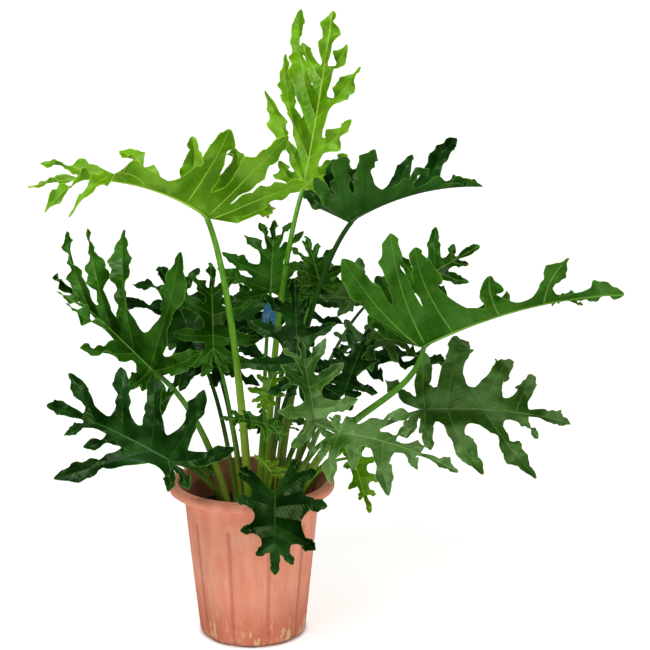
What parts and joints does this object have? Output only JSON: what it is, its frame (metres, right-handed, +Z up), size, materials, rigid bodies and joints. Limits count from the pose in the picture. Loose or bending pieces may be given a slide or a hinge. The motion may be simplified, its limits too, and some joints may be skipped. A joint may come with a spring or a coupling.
{
  "type": "potted lacy tree philodendron",
  "caption": "Lacy tree philodendron with deeply cut arching leaves on long stalks, growing in a fluted terracotta-coloured plastic pot",
  "frame": {"origin": "on the floor at the centre of the pot's base", "axes": "+Z up, -Y to the front, +X to the right as seen from the front"},
  "size_m": [0.9547, 0.806, 1.008],
  "materials": {
    "pot": "matt terracotta-coloured plastic with pale mineral marks near the foot",
    "soil": "dark loose potting soil",
    "tie": "blue plastic tape",
    "young_leaf": "bright yellow-green young leaf, softly glossy and a little see-through",
    "bright_leaf": "mid-green leaf, glossy, with paler veins",
    "pale_leaf": "green leaf with a greyish bloom and pale veins",
    "grown_leaf": "dark green glossy leaf with lighter edges"
  },
  "bodies": {
    "root": {"pot": "pot", "soil": "soil", "blue_tie": "tie", "leaf_top_left": "young_leaf", "leaf_top": "young_leaf", "leaf_top_right": "grown_leaf", "leaf_right": "bright_leaf", "leaf_right_low": "pale_leaf", "leaf_front_right": "pale_leaf", "leaf_centre_front": "pale_leaf", "leaf_centre": "grown_leaf", "leaf_centre_right": "pale_leaf", "leaf_right_back": "pale_leaf", "leaf_upper_centre": "bright_leaf", "leaf_centre_young": "bright_leaf", "leaf_left_back": "grown_leaf", "leaf_back_left": "grown_leaf", "leaf_left": "bright_leaf", "leaf_left_low": "grown_leaf", "leaf_pot_front": "grown_leaf", "leaf_small_light": "young_leaf", "leaf_small_dark": "bright_leaf", "leaf_right_under": "young_leaf", "leaf_in_pot": "bright_leaf", "leaf_foot_young": "young_leaf", "leaf_right_upper": "bright_leaf", "leaf_left_inner": "bright_leaf", "leaf_rear_left": "grown_leaf", "leaf_rear": "grown_leaf", "leaf_rear_right": "grown_leaf", "leaf_rear_low": "bright_leaf", "leaf_right_inner": "grown_leaf"}
  },
  "joints": []
}
